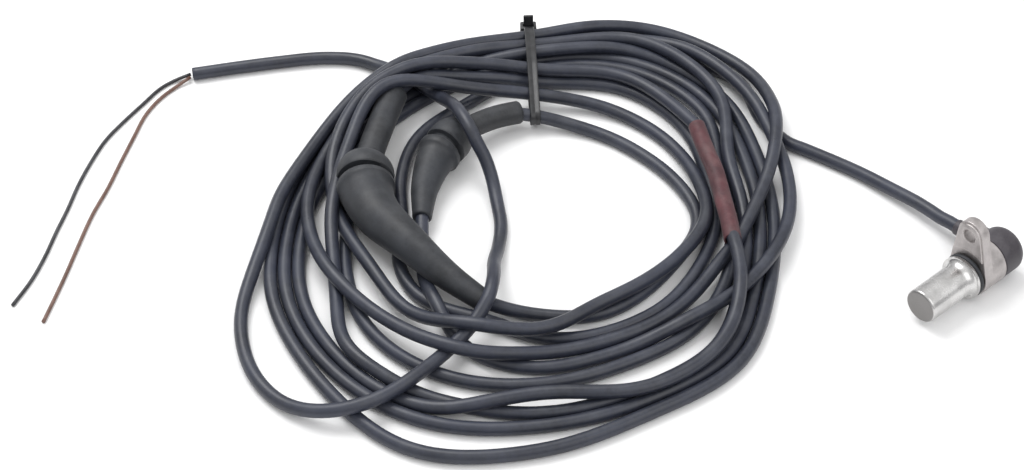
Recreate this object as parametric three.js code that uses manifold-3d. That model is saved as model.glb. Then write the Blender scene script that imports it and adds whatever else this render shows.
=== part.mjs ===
// Wheel speed sensor with its coiled cable, in millimetres, +Z up.
// The sensor head points along -Y, the ear of its bracket points up and the cable leaves towards -X.
// The origin is the middle of the head's box, on the surface that it lies on.
import * as THREE from 'three';
import { mergeVertices } from 'three/addons/utils/BufferGeometryUtils.js';
import Module from 'manifold-3d';

const wasm = await Module();
wasm.setup();

// Clearances: between parts that touch, and of a pin or core in its bore
const seatGap = 0.3;
const boreGap = 0.3;

// Sensor housing, turned in one: barrel, flare, lip, ring groove and spigot
const barrelDiameter = 16;
const barrelLength = 22.5;
const tipEdge = 1.2;
const tipWall = 0.9;
const barrelWall = 1.2;
const flareLength = 4;
const lipDiameter = 20.8;
const lipLength = 1.5;
const grooveDiameter = 15.6;
const spigotInCap = 3;

// Sealing ring in the groove between the lip and the bracket
const ringSection = 2.4;

// Mounting bracket, cast in one: ear plate, raised pad and hub
const hubDiameter = 21.8;
const hubLength = 9;
const plateThickness = 5;
const plateEdge = 0.6;
const earDiameter = 14;
const boltDistance = 22.1;
const boltHoleDiameter = 6.4;
const padHeight = 0.8;
const padInset = 0.9;
const padFromAxis = 13.8;

// Moulded elbow cap over the spigot, with the cable's outlet at its side
const capDiameter = 21.4;
const capLength = 14;
const capWall = 2.6;
const capEdge = 5;
const outletFromHub = 7;
const outletDiameter = 12;
const outletReach = 24;
const jacketInCap = 1.2;

// Coil, magnet and contacts in the barrel
const polePinDiameter = 5;
const bobbinWall = 0.9;
const bobbinFlange = 1;
const bobbinBackFlange = 2;
const bobbinLength = 13.2;
const windingDiameter = 12;
const magnetDiameter = 9.2;
const magnetLength = 5.6;
const terminalWidth = 2;
const terminalThickness = 0.6;
const terminalPastSpigot = 0.8;
const crimpDiameter = 2.6;
const crimpLength = 3.6;
const coreDiameter = 1.7;
const coreSpread = 1.05;

// How the head lies: turned a little about its axis, so that the outlet points down to the surface
const headRoll = 5.6;

// Cable and wires
const cableDiameter = 6.2;
const wireDiameter = 1.7;
const cableSides = 8;
const wireSides = 8;
const cableStep = 16;
const wireStep = 12;
const boreStep = 7.5;
const softSides = 14;

// Grommets on the cable: neck, dome, two lips with a groove between them, and a long cone
const largeGrommet = { neck: 13, lip: 27, groove: 19, end: 10, neckLength: 50 };
const smallGrommet = { neck: 11, lip: 21, groove: 15, end: 9, neckLength: 32 };
const domeLength = 9;
const lipWidth = 4;
const grooveWidth = 3.4;
const sleeveClearance = 0.3;
const neckStep = 8;
const coneSteps = 10;

// Marking sleeve and cable tie
const sleeveWall = 0.7;
const sleeveSides = 12;
const sleeveSteps = 10;
const tieWidth = 4.8;
const tieThickness = 1.3;
const tieHeadLength = 7.5;
const tieHeadWidth = 8;
const tieHeadHeight = 5.5;
const tieTailLength = 7;
const tieSegments = 4;

// The coil and its leads are drawn on the surface, then turned to the head.
// Their own X runs along the front of the coil and their Y away from it.
const coilTurn = 49;
const tipInCoilFrame = [178, -55.3];
const coilCentre = [14, 4];

// Reach of the coil from its centre at every 22.5 degrees, and its height there
const coilOuter = [119, 128, 148, 150, 137, 129, 128, 126, 129, 148, 161, 152, 142, 132, 127, 117];
const coilInner = [67, 63, 58, 56, 60, 66, 80, 84, 74, 64, 56, 56, 58, 59, 58, 60];
const coilHeight = [13, 13, 12, 11, 13, 17, 20, 18, 16, 14, 15, 16, 10, 9, 10, 13];
const coilSteps = 54;
const coilRounding = 3.1;

// Routes in the coil's frame, each point chosen on the real cable's line
const leadRoute = [
  [195, 4, 7.4], [187, 14, 6.2], [175, 26, 4.6], [163, 37, 3.5], [149, 47, 3.2], [138, 54, 3.2],
  [127, 61, 3.2],
];
const tailRoute = [
  [-57, 107, 6], [-66, 114, 3.6], [-77, 119, 3.2], [-94, 120, 3.2], [-114, 117, 3.2],
  [-134, 113, 3.2], [-156, 108, 3.2],
];
const crossRoute = [
  [-33, 79, 13], [-29, 69, 19], [-25, 58, 24.6], [-20, 47, 24.6], [-16, 40, 20], [-12, 35, 14],
  [-9, 28, 7.6], [-7, 18, 4], [-5, 3, 3.2], [-6, -10, 3.4], [-8, -25, 8], [-8, -38, 14],
  [-9, -49, 16.6], [-12, -59, 14.8],
];
const blackRoute = [
  [-157, 108.6, 2.6], [-164, 106, 1.2], [-171, 100, 0.95], [-178, 89, 0.95], [-186, 76, 0.95],
  [-193, 63, 0.95], [-198, 48, 0.95], [-202, 32, 0.95], [-205, 15, 0.95], [-208, 1, 0.95],
  [-211, -15, 0.95], [-215, -30, 0.95], [-221, -45, 0.95],
];
const brownRoute = [
  [-157, 106.4, 2.6], [-163, 101.5, 1.2], [-170, 93, 0.95], [-176, 81, 0.95], [-180, 65, 0.95],
  [-184, 48, 0.95], [-188, 30, 0.95], [-193, 12, 0.95], [-197, -9, 0.95], [-200, -26, 0.95],
  [-203, -41, 0.95], [-206, -55, 0.95],
];
const largeGrommetRoute = [
  [-56, 82, 14], [-61, 62, 14], [-66, 37, 14.2], [-67, 17, 14.8], [-61, -2, 16], [-46, -20, 15.2],
  [-29, -36, 11], [-11, -49, 6.5],
];
const smallGrommetRoute = [
  [4, 74, 9], [-8, 69, 10], [-18, 62, 11], [-27, 54, 11.3], [-35, 41, 10.6], [-40, 23, 8.4],
  [-41, 4, 6.8],
];
const sleeveRoute = [[87, 61, 12], [90, 46, 12], [94, 29, 12], [96, 13, 12], [98, -2, 12], [99, -15, 12]];
const overhang = 5;
const tieBearing = 91;

// Distances along the head's axis, from the tip
const lipStart = barrelLength + flareLength;
const lipEnd = lipStart + lipLength;
const plateFront = lipEnd + ringSection + 2 * seatGap;
const plateBack = plateFront + plateThickness;
const hubBack = plateBack + hubLength;
const spigotEnd = hubBack + spigotInCap;
const capFront = hubBack + seatGap;
const capBack = capFront + capLength;
const outletAt = hubBack + outletFromHub;
const outletRoot = outletFromHub - seatGap;
const boreRadius = barrelDiameter / 2 - barrelWall;
const terminalRadius = boreRadius - boreGap - 1.5 * terminalThickness;
const spigotRadius = grooveDiameter / 2;
const bobbinFront = tipWall + seatGap;
const bobbinBack = bobbinFront + bobbinLength;
const magnetFront = bobbinBack + seatGap;
const magnetBack = magnetFront + magnetLength;
const carrierFront = magnetBack + seatGap;
const carrierBack = spigotEnd - seatGap;
const terminalEnd = spigotEnd + terminalPastSpigot;
const capBore = spigotRadius + boreGap;
const jacketEnd = -(capBore - jacketInCap);
const sleeveRadius = cableDiameter / 2 + sleeveClearance + sleeveWall;

// Materials as the finished surfaces look
const finishes = {
  housing: { color: 0xb9b7b4, roughness: 0.28, metalness: 1 },
  bracket: { color: 0xa8a09c, roughness: 0.5, metalness: 1 },
  elbow: { color: 0x26262c, roughness: 0.55, metalness: 0 },
  rubber: { color: 0x2b2e33, roughness: 0.75, metalness: 0 },
  cable: { color: 0x3d4148, roughness: 0.5, metalness: 0 },
  blackWire: { color: 0x2c2c2e, roughness: 0.5, metalness: 0 },
  brownWire: { color: 0x5b4038, roughness: 0.5, metalness: 0 },
  sleeve: { color: 0x5a262b, roughness: 0.6, metalness: 0 },
  nylon: { color: 0x191a1c, roughness: 0.4, metalness: 0 },
  innerPlastic: { color: 0x1f2a24, roughness: 0.6, metalness: 0 },
  copper: { color: 0xa85f35, roughness: 0.35, metalness: 1 },
  brass: { color: 0xb59a55, roughness: 0.35, metalness: 1 },
  iron: { color: 0x6d6f72, roughness: 0.4, metalness: 1 },
  magnetCoat: { color: 0x8d9094, roughness: 0.3, metalness: 1 },
};

function mesh(name, geometry, finish) {
  const piece = new THREE.Mesh(geometry, new THREE.MeshStandardMaterial(finishes[finish]));
  piece.name = name;
  return piece;
}

// Closed solids for joining and cutting
function toSolid(geometry) {
  const plain = geometry.clone();
  plain.deleteAttribute('normal');
  plain.deleteAttribute('uv');
  const merged = mergeVertices(plain, 1e-4);
  return new wasm.Manifold(new wasm.Mesh({
    numProp: 3,
    vertProperties: new Float32Array(merged.attributes.position.array),
    triVerts: new Uint32Array(merged.index.array),
  }));
}

function toGeometry(solid) {
  const data = solid.getMesh();
  const geometry = new THREE.BufferGeometry();
  geometry.setAttribute('position', new THREE.BufferAttribute(data.vertProperties, 3));
  geometry.setIndex(new THREE.BufferAttribute(data.triVerts, 1));
  geometry.computeVertexNormals();
  return geometry;
}

// Turned pieces: a profile of radius and distance along the head's axis, revolved about Y
function turned(profile, segments = 36) {
  return new THREE.LatheGeometry(profile.map(([r, y]) => new THREE.Vector2(r, y)), segments);
}

function tubeProfile(inner, outer, from, to) {
  return [[inner, from], [outer, from], [outer, to], [inner, to], [inner, from]];
}

// A quarter turn of points from one direction to another round a centre, for rounded edges
function arc(centreR, centreY, radiusR, radiusY, fromDegrees, toDegrees, steps) {
  const points = [];
  for (let i = 0; i <= steps; i += 1) {
    const a = THREE.MathUtils.degToRad(fromDegrees + ((toDegrees - fromDegrees) * i) / steps);
    points.push([centreR + radiusR * Math.cos(a), centreY + radiusY * Math.sin(a)]);
  }
  return points;
}

// Flat outlines in X and Z, thickened along Y from one distance to another
function plateAlongY(shape, from, to, edge = 0, curveSegments = 14) {
  const geometry = new THREE.ExtrudeGeometry(shape, {
    depth: to - from - 2 * edge,
    bevelEnabled: edge > 0,
    bevelThickness: edge,
    bevelSize: edge,
    bevelOffset: -edge,
    bevelSegments: 1,
    curveSegments,
  });
  geometry.rotateX(Math.PI / 2);
  geometry.translate(0, to - edge, 0);
  return geometry;
}

function box(width, length, height, x, y, z) {
  return new THREE.BoxGeometry(width, length, height).translate(x, y, z);
}

// Housing: one turned shell, closed at the tip and open at the spigot
function sensorHousing() {
  const outer = barrelDiameter / 2;
  const lip = lipDiameter / 2;
  const flare = arc(lip, barrelLength, lip - outer, flareLength, 180, 90, 5);
  return turned([
    [0, 0],
    ...arc(outer - tipEdge, tipEdge, tipEdge, tipEdge, -90, 0, 4),
    ...flare,
    [lip, lipEnd],
    [spigotRadius, lipEnd],
    [spigotRadius, spigotEnd],
    [boreRadius, spigotEnd],
    [boreRadius, tipWall],
    [0, tipWall],
  ]);
}

function sealingRing() {
  const ringRadius = spigotRadius + boreGap + ringSection / 2;
  const geometry = new THREE.TorusGeometry(ringRadius, ringSection / 2, 8, 36);
  geometry.rotateX(Math.PI / 2);
  return geometry.translate(0, lipEnd + seatGap + ringSection / 2, 0);
}

// Outline of the ear: the hub's round below, flanks drawn in to a round end about the bolt hole
function earOutline(inset) {
  const hub = hubDiameter / 2 - inset;
  const ear = earDiameter / 2 - inset;
  const lean = Math.asin((hub - ear) / boltDistance);
  const shape = new THREE.Shape();
  shape.absarc(0, 0, hub, Math.PI - lean, 2 * Math.PI + lean, false);
  shape.absarc(0, boltDistance, ear, lean, Math.PI - lean, false);
  return shape;
}

function mountingBracket() {
  const segments = 44;
  const hub = toSolid(turned([
    [0, plateBack - plateEdge * 2],
    [hubDiameter / 2, plateBack - plateEdge * 2],
    ...arc(hubDiameter / 2 - plateEdge, hubBack - plateEdge, plateEdge, plateEdge, 0, 90, 2),
    [0, hubBack],
  ], segments));
  const plate = toSolid(plateAlongY(earOutline(0), plateFront, plateBack, plateEdge));
  const padBlank = toSolid(plateAlongY(earOutline(padInset), plateFront - padHeight, plateFront + plateEdge));
  const roundBarrel = toSolid(new THREE.CylinderGeometry(padFromAxis, padFromAxis, 4 * plateThickness, 64)
    .translate(0, plateFront, 0));
  const bore = toSolid(new THREE.CylinderGeometry(capBore, capBore, 3 * (hubBack - plateFront), segments)
    .translate(0, plateBack, 0));
  const boltHole = toSolid(new THREE.CylinderGeometry(boltHoleDiameter / 2, boltHoleDiameter / 2,
    6 * plateThickness, 32).translate(0, plateFront, boltDistance));
  const cast = plate.add(hub).add(padBlank.subtract(roundBarrel));
  return toGeometry(cast.subtract(bore).subtract(boltHole));
}

// Elbow cap: a domed cup over the spigot with a tapered outlet along -X
function elbowCap() {
  const radius = capDiameter / 2;
  const segments = 40;
  const cup = toSolid(turned([
    [0, capFront],
    [radius, capFront],
    ...arc(radius - capEdge, capBack - capEdge, capEdge, capEdge, 0, 90, 5),
    [0, capBack],
  ], segments));
  const outletProfile = [
    [0, 0],
    [outletRoot, 0],
    [outletRoot, capDiameter / 2],
    ...arc(outletDiameter / 2 - plateEdge, outletReach - plateEdge, plateEdge, plateEdge, 0, 90, 2),
    [0, outletReach],
  ];
  const outlet = toSolid(turned(outletProfile, 28).rotateZ(Math.PI / 2).translate(0, outletAt, 0));
  const hollowEdge = capEdge - capWall / 2;
  const hollow = toSolid(turned([
    [0, capFront - 1],
    [capBore, capFront - 1],
    ...arc(capBore - hollowEdge, capBack - capWall - hollowEdge, hollowEdge, hollowEdge, 0, 90, 4),
    [0, capBack - capWall],
  ], segments));
  const cableBore = toSolid(new THREE.CylinderGeometry(cableDiameter / 2 + boreGap,
    cableDiameter / 2 + boreGap, 2 * outletReach, 24).rotateZ(Math.PI / 2)
    .translate(-outletReach - boreGap, outletAt, 0));
  return toGeometry(cup.add(outlet).subtract(hollow).subtract(cableBore));
}

function coilBobbin() {
  const inner = polePinDiameter / 2 + boreGap;
  const tube = inner + bobbinWall;
  const flange = boreRadius - boreGap;
  return turned([
    [inner, bobbinFront],
    [flange, bobbinFront],
    [flange, bobbinFront + bobbinFlange],
    [tube, bobbinFront + bobbinFlange],
    [tube, bobbinBack - bobbinBackFlange],
    [flange, bobbinBack - bobbinBackFlange],
    [flange, bobbinBack],
    [inner, bobbinBack],
    [inner, bobbinFront],
  ], 36);
}

function winding() {
  const inner = polePinDiameter / 2 + boreGap + bobbinWall + seatGap;
  const from = bobbinFront + bobbinFlange + seatGap;
  const to = bobbinBack - bobbinBackFlange - seatGap;
  return turned(tubeProfile(inner, windingDiameter / 2, from, to), 36);
}

// Carrier behind the magnet: a plug with a groove above and below for the two terminals
function contactCarrier() {
  const radius = boreRadius - boreGap;
  const plug = toSolid(turned([[0, carrierFront], [radius, carrierFront], [radius, carrierBack],
    [0, carrierBack]], 36));
  const floor = terminalRadius - terminalThickness / 2 - seatGap;
  const depth = 2 * (radius - floor);
  const grooveLength = 2 * (carrierBack - carrierFront);
  const grooves = [1, -1].map((side) => toSolid(box(terminalWidth + 2 * seatGap, grooveLength, depth,
    0, (carrierFront + carrierBack) / 2, side * (floor + depth / 2))));
  return toGeometry(plug.subtract(grooves[0]).subtract(grooves[1]));
}

function polePin() {
  return turned([[0, bobbinFront], [polePinDiameter / 2, bobbinFront], [polePinDiameter / 2, bobbinBack],
    [0, bobbinBack]], 28);
}

function magnet() {
  return turned([[0, magnetFront], [magnetDiameter / 2, magnetFront], [magnetDiameter / 2, magnetBack],
    [0, magnetBack]], 28);
}

function terminal(side) {
  const length = terminalEnd - magnetFront;
  return box(terminalWidth, length, terminalThickness, 0, magnetFront + length / 2, side * terminalRadius);
}

function crimp(side) {
  const from = terminalEnd + seatGap;
  return turned([[0, from], [crimpDiameter / 2, from], [crimpDiameter / 2, from + crimpLength],
    [0, from + crimpLength]], 16).translate(0, 0, side * terminalRadius);
}

// Round bar along a smooth route
function section(radius, sides) {
  const points = [];
  for (let i = 0; i < sides; i += 1) {
    const a = (2 * Math.PI * i) / sides;
    points.push(new THREE.Vector2(radius * Math.cos(a), radius * Math.sin(a)));
  }
  return new THREE.Shape(points);
}

function smooth(route) {
  return new THREE.CatmullRomCurve3(route.map((p) => new THREE.Vector3(...p)), false, 'centripetal');
}

function bar(route, diameter, sides, step) {
  const path = smooth(route);
  const steps = Math.max(2, Math.round(path.getLength() / step));
  return new THREE.ExtrudeGeometry(section(diameter / 2, sides), { steps, extrudePath: path });
}

// The route with both ends drawn out straight by a length
function longer(route, extra) {
  const first = new THREE.Vector3(...route[0]);
  const second = new THREE.Vector3(...route[1]);
  const last = new THREE.Vector3(...route[route.length - 1]);
  const beforeLast = new THREE.Vector3(...route[route.length - 2]);
  const start = first.clone().addScaledVector(first.clone().sub(second).normalize(), extra);
  const end = last.clone().addScaledVector(last.clone().sub(beforeLast).normalize(), extra);
  return [start.toArray(), ...route.slice(1, -1), end.toArray()];
}

// Core in the cap: from its crimp round to the end of the jacket
function core(side) {
  const crimpEnd = terminalEnd + seatGap + crimpLength + seatGap;
  const room = capBack - capWall - crimpEnd - coreDiameter / 2 - seatGap;
  const route = [
    [0, crimpEnd, side * terminalRadius],
    [-0.4, crimpEnd + room * 0.6, side * terminalRadius * 0.93],
    [-2, crimpEnd + room * 0.8, side * terminalRadius * 0.7],
    [-4.2, (crimpEnd + outletAt) / 2 + 0.6, side * terminalRadius * 0.38],
    [jacketEnd + 1.6, outletAt, side * coreSpread],
    [jacketEnd + seatGap, outletAt, side * coreSpread],
  ];
  return bar(route, coreDiameter, wireSides, 1.2);
}

// A soft body of round sections strung on a route: radius by distance along it
function strung(route, profile, sides, bore) {
  const curve = smooth(route);
  const length = curve.getLength();
  const rings = [];
  const up = new THREE.Vector3(0, 0, 1);
  for (const [distance, radius] of profile) {
    const at = curve.getPointAt(Math.min(Math.max(distance / length, 0), 1));
    const along = curve.getTangentAt(Math.min(Math.max(distance / length, 0), 1));
    const across = new THREE.Vector3().crossVectors(along, up).normalize();
    const over = new THREE.Vector3().crossVectors(across, along).normalize();
    rings.push({ at, across, over, radius });
  }
  const hollow = bore > 0;
  const loop = hollow ? [...rings, ...rings.map((r) => ({ ...r, radius: bore / 2 })).reverse()] : rings;
  const positions = [];
  const indices = [];
  for (const ring of loop) {
    for (let i = 0; i < sides; i += 1) {
      const a = (2 * Math.PI * i) / sides;
      const p = ring.at.clone()
        .addScaledVector(ring.across, ring.radius * Math.cos(a))
        .addScaledVector(ring.over, ring.radius * Math.sin(a));
      positions.push(p.x, p.y, p.z);
    }
  }
  const bands = hollow ? loop.length : loop.length - 1;
  for (let j = 0; j < bands; j += 1) {
    const next = (j + 1) % loop.length;
    for (let i = 0; i < sides; i += 1) {
      const k = (i + 1) % sides;
      const [a, b, c, d] = [j * sides + i, j * sides + k, next * sides + k, next * sides + i];
      indices.push(a, c, b, a, d, c);
    }
  }
  if (!hollow) {
    const lastRing = (loop.length - 1) * sides;
    for (let i = 1; i < sides - 1; i += 1) {
      indices.push(0, i, i + 1);
      indices.push(lastRing, lastRing + i + 1, lastRing + i);
    }
  }
  const geometry = new THREE.BufferGeometry();
  geometry.setAttribute('position', new THREE.Float32BufferAttribute(positions, 3));
  geometry.setIndex(indices);
  geometry.computeVertexNormals();
  return geometry;
}

// Stations of equal radius, for a body of one diameter
function evenProfile(route, radius, count) {
  const length = smooth(route).getLength();
  return Array.from({ length: count + 1 }, (_, i) => [(length * i) / count, radius]);
}

// Room for a grommet: its outline without the groove, wider and longer by the seat gap
function grommetRoom(route, size) {
  const peak = size.neckLength + domeLength;
  const outline = grommetProfile(route, size).filter(([, r]) => r !== size.groove / 2);
  const wider = outline.map(([s, r]) => [s > peak + 1e-6 ? s + 2 * seatGap : s, r + seatGap]);
  return toSolid(strung(longer(route, seatGap), wider, softSides, 0));
}

// Grommet radii along its route, from the end of its neck to the end of its cone
function grommetProfile(route, size) {
  const neck = size.neck / 2;
  const lip = size.lip / 2;
  const groove = size.groove / 2;
  const end = size.end / 2;
  const length = smooth(route).getLength();
  const points = [[0, neck - 0.6], [1, neck]];
  for (let s = neckStep; s < size.neckLength - 2; s += neckStep) points.push([s, neck]);
  points.push([size.neckLength, neck]);
  for (let i = 1; i <= 4; i += 1) {
    const a = (i * Math.PI) / 8;
    points.push([size.neckLength + domeLength * (1 - Math.cos(a)), neck + (lip - neck) * Math.sin(a)]);
  }
  const firstLip = size.neckLength + domeLength + lipWidth;
  const secondLip = firstLip + grooveWidth;
  points.push([firstLip, lip], [firstLip + 0.4, groove], [secondLip, groove], [secondLip + 0.4, lip]);
  const coneStart = secondLip + 0.4 + lipWidth;
  points.push([coneStart, lip]);
  for (let i = 1; i <= coneSteps; i += 1) {
    const t = i / coneSteps;
    points.push([coneStart + (length - coneStart) * t, end + (lip - 1.2 - end) * (1 - t) ** 1.15]);
  }
  return points;
}

// Periodic smooth value from a list of equal steps round the coil
function roundValue(list, turn) {
  const count = list.length;
  const at = ((turn * count) % count + count) % count;
  const i = Math.floor(at);
  const t = at - i;
  const [a, b, c, d] = [-1, 0, 1, 2].map((k) => list[(i + k + count) % count]);
  return 0.5 * (2 * b + (c - a) * t + (2 * a - 5 * b + 4 * c - d) * t ** 2
    + (3 * b - a - 3 * c + d) * t ** 3);
}

// The bundle's section at one direction: inner and outer reach, height and rounded corners
function coilSection(turn) {
  const inner = roundValue(coilInner, turn);
  const outer = roundValue(coilOuter, turn);
  const top = roundValue(coilHeight, turn);
  const r = coilRounding;
  const corners = [[outer - r, r, -90], [outer - r, top - r, 0], [inner + r, top - r, 90],
    [inner + r, r, 180]];
  return corners.flatMap(([x, z, from]) => arc(x, z, r, r, from, from + 90, 2));
}

function coilBlank() {
  const positions = [];
  const indices = [];
  const perSection = coilSection(0).length;
  for (let j = 0; j < coilSteps; j += 1) {
    const turn = j / coilSteps;
    const angle = 2 * Math.PI * turn;
    for (const [reach, z] of coilSection(turn)) {
      positions.push(coilCentre[0] + reach * Math.cos(angle), coilCentre[1] + reach * Math.sin(angle), z);
    }
  }
  for (let j = 0; j < coilSteps; j += 1) {
    const next = (j + 1) % coilSteps;
    for (let i = 0; i < perSection; i += 1) {
      const k = (i + 1) % perSection;
      const [a, b] = [j * perSection + i, j * perSection + k];
      const [c, d] = [next * perSection + k, next * perSection + i];
      indices.push(a, c, b, a, d, c);
    }
  }
  const geometry = new THREE.BufferGeometry();
  geometry.setAttribute('position', new THREE.Float32BufferAttribute(positions, 3));
  geometry.setIndex(indices);
  return toSolid(geometry);
}

// Cable tie: a strap round the bundle's section, sunk into the coil's outline, with head and tail
function roundedLoop(inner, outer, top, grow, corner) {
  const shape = new THREE.Shape();
  const [x0, x1, z0, z1] = [inner - grow, outer + grow, tieThickness - grow, top + grow];
  shape.absarc(x1 - corner, z0 + corner, corner, -Math.PI / 2, 0, false);
  shape.absarc(x1 - corner, z1 - corner, corner, 0, Math.PI / 2, false);
  shape.absarc(x0 + corner, z1 - corner, corner, Math.PI / 2, Math.PI, false);
  shape.absarc(x0 + corner, z0 + corner, corner, Math.PI, 1.5 * Math.PI, false);
  return shape;
}

function toTieBearing(geometry) {
  geometry.rotateZ(THREE.MathUtils.degToRad(tieBearing));
  return geometry.translate(coilCentre[0], coilCentre[1], 0);
}

function tieParts(gap) {
  const turn = tieBearing / 360;
  const inner = roundValue(coilInner, turn);
  const outer = roundValue(coilOuter, turn);
  const top = roundValue(coilHeight, turn) - tieThickness;
  const half = tieWidth / 2 + gap;
  const bandOuter = roundedLoop(inner, outer, top, tieThickness + gap, 5);
  const bandInner = roundedLoop(inner, outer, top, -gap, 4);
  const cut = 2 * tieWidth;
  const ring = toSolid(toTieBearing(plateAlongY(bandOuter, -half, half, 0, tieSegments)))
    .subtract(toSolid(toTieBearing(plateAlongY(bandInner, -cut, cut, 0, tieSegments))));
  const headAt = outer + tieThickness + tieHeadHeight / 2 - 0.5;
  const head = toSolid(toTieBearing(box(tieHeadHeight + 2 * gap, tieHeadWidth + 2 * gap,
    tieHeadLength + 2 * gap, headAt, 0, top - tieHeadLength / 2)));
  const tail = toSolid(toTieBearing(box(tieThickness + 2 * gap, tieWidth + 2 * gap,
    tieTailLength + 2 * gap, headAt, 0, top + tieTailLength / 2 - 1)));
  return ring.add(head).add(tail);
}

// Every hollow that a neighbour needs in the coil's solid, each wider than it by the seat gap
function coilHollows() {
  const room = cableDiameter + 2 * seatGap;
  const cables = [leadRoute, tailRoute, crossRoute].map((route) => (
    toSolid(bar(longer(route, seatGap), room, cableSides, cableStep))));
  const insides = [sleeveRoute, largeGrommetRoute, smallGrommetRoute].map((route) => (
    toSolid(bar(longer(route, overhang + seatGap), room, cableSides, boreStep))));
  const sleeve = evenProfile(longer(sleeveRoute, seatGap), sleeveRadius + seatGap, sleeveSteps);
  return [
    ...cables,
    ...insides,
    toSolid(strung(longer(sleeveRoute, seatGap), sleeve, sleeveSides, 0)),
    grommetRoom(largeGrommetRoute, largeGrommet),
    grommetRoom(smallGrommetRoute, smallGrommet),
    tieParts(seatGap),
  ];
}

function coilSolid() {
  let coil = coilBlank();
  for (const hollow of coilHollows()) coil = coil.subtract(hollow);
  return toGeometry(coil);
}

function grommet(route, size) {
  return strung(route, grommetProfile(route, size), softSides, cableDiameter + 2 * sleeveClearance);
}

function cableInside(route) {
  return bar(longer(route, overhang), cableDiameter, cableSides, boreStep);
}

function markingSleeve() {
  const stations = evenProfile(sleeveRoute, sleeveRadius, sleeveSteps);
  return strung(sleeveRoute, stations, sleeveSides, cableDiameter + 2 * sleeveClearance);
}

// The lead's first point lies in the cap, past the outlet's bore, seen from the coil's frame
function leadFromCap(head, layout) {
  head.updateMatrixWorld(true);
  layout.updateMatrixWorld(true);
  const inCap = [[jacketEnd, outletAt, 0], [-outletReach, outletAt, 0], [-outletReach - 4, outletAt, -0.1]];
  const start = inCap.map((p) => layout.worldToLocal(head.localToWorld(new THREE.Vector3(...p))));
  return [...start.map((p) => p.toArray()), ...leadRoute];
}

const part = new THREE.Group();

const head = new THREE.Group();
head.add(
  mesh('sensor_housing', sensorHousing(), 'housing'),
  mesh('sealing_ring', sealingRing(), 'rubber'),
  mesh('mounting_bracket', mountingBracket(), 'bracket'),
  mesh('elbow_cap', elbowCap(), 'elbow'),
  mesh('pole_pin', polePin(), 'iron'),
  mesh('coil_bobbin', coilBobbin(), 'innerPlastic'),
  mesh('winding', winding(), 'copper'),
  mesh('magnet', magnet(), 'magnetCoat'),
  mesh('contact_carrier', contactCarrier(), 'innerPlastic'),
);
[1, -1].forEach((side, i) => {
  head.add(
    mesh(`terminal_${i + 1}`, terminal(side), 'brass'),
    mesh(`crimp_${i + 1}`, crimp(side), 'brass'),
    mesh(`core_${i + 1}`, core(side), i === 0 ? 'blackWire' : 'brownWire'),
  );
});
head.rotation.y = THREE.MathUtils.degToRad(-headRoll);
head.updateMatrixWorld(true);
const headBox = new THREE.Box3().setFromObject(head, true);
const headMiddle = headBox.getCenter(new THREE.Vector3());
head.position.set(-headMiddle.x, -headMiddle.y, -headBox.min.z);
part.add(head);

const layout = new THREE.Group();
layout.rotation.z = THREE.MathUtils.degToRad(coilTurn);
const tipOffset = new THREE.Vector3(tipInCoilFrame[0], tipInCoilFrame[1], 0).applyEuler(layout.rotation);
layout.position.set(head.position.x - tipOffset.x, head.position.y - tipOffset.y, 0);
layout.add(
  mesh('cable_lead', bar(leadFromCap(head, layout), cableDiameter, cableSides, cableStep), 'cable'),
  mesh('cable_coil', coilSolid(), 'cable'),
  mesh('cable_cross', bar(crossRoute, cableDiameter, cableSides, cableStep), 'cable'),
  mesh('cable_tail', bar(tailRoute, cableDiameter, cableSides, cableStep), 'cable'),
  mesh('cable_in_grommet_1', cableInside(largeGrommetRoute), 'cable'),
  mesh('cable_in_grommet_2', cableInside(smallGrommetRoute), 'cable'),
  mesh('cable_in_sleeve', cableInside(sleeveRoute), 'cable'),
  mesh('wire_black', bar(blackRoute, wireDiameter, wireSides, wireStep), 'blackWire'),
  mesh('wire_brown', bar(brownRoute, wireDiameter, wireSides, wireStep), 'brownWire'),
  mesh('grommet_1', grommet(largeGrommetRoute, largeGrommet), 'rubber'),
  mesh('grommet_2', grommet(smallGrommetRoute, smallGrommet), 'rubber'),
  mesh('marking_sleeve', markingSleeve(), 'sleeve'),
  mesh('cable_tie', toGeometry(tieParts(0)), 'nylon'),
);
part.add(layout);

export default part;
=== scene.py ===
# Wheel speed sensor with its coiled cable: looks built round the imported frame, in metres, +Z up.
import math

import bmesh
import bpy
import numpy as np
from mathutils import Matrix, Vector


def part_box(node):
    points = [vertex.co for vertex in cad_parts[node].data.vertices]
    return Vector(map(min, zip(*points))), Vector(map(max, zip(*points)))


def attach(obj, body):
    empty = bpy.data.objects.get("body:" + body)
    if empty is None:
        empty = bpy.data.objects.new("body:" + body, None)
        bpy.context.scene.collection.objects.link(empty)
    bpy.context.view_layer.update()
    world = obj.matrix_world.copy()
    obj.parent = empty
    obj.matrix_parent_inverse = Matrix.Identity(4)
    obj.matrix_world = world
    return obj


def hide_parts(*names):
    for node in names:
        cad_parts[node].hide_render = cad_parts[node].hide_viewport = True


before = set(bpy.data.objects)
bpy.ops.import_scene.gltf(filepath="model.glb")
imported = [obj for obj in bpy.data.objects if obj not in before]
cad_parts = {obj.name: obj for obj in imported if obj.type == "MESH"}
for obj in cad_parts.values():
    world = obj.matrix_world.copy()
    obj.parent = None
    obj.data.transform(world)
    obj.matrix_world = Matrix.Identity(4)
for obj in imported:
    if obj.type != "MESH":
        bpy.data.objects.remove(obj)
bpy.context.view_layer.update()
mm = 0.001

# Where the head and the coil lie. The coil's own frame is turned to the head, as in the CAD source.
coilTurn = math.radians(49)
headRoll = math.radians(-5.6)
tipInCoilFrame = np.array([178, -55.3]) * mm


def spin(angle):
    return np.array([[math.cos(angle), -math.sin(angle)], [math.sin(angle), math.cos(angle)]])


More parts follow.
